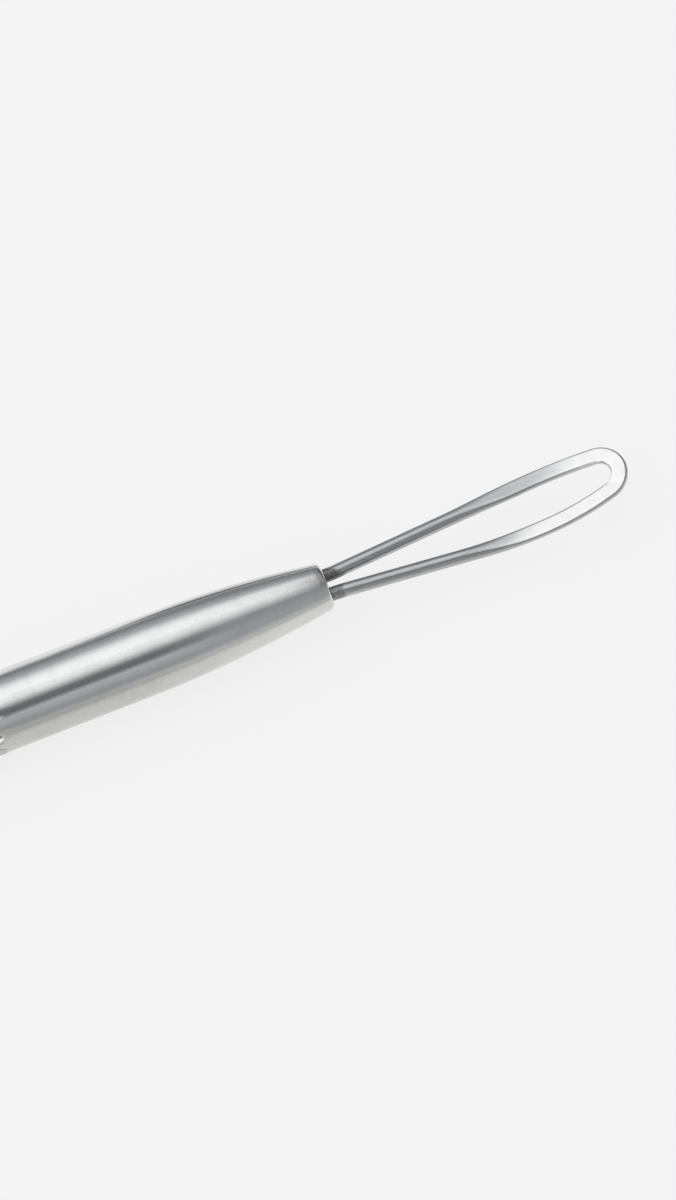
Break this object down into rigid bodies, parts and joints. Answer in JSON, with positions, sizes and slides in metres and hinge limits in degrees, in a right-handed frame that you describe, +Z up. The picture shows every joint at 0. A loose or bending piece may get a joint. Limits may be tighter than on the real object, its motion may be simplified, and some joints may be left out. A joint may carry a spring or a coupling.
{
  "type": "blackhead extractor",
  "caption": "Slim round steel hand tool with a knurled grip and a flattened wire loop at each end, for pressing out blackheads.",
  "frame": {"origin": "middle of the tool's length and width, on the surface that the grip lies on", "axes": "+X along the handle towards the large loop, +Z up and square to the flat of the loops, which curl up towards +Z"},
  "size_m": [0.1276, 0.0064, 0.0065],
  "materials": {
    "handle_steel": "fine turned satin",
    "wire_steel": "satin, pressed flat",
    "braze": "dull, heat stained silver braze"
  },
  "bodies": {
    "root": {"handle": "handle_steel", "large_loop": "wire_steel", "small_loop": "wire_steel", "large_loop_braze": "braze", "small_loop_braze": "braze"}
  },
  "joints": []
}
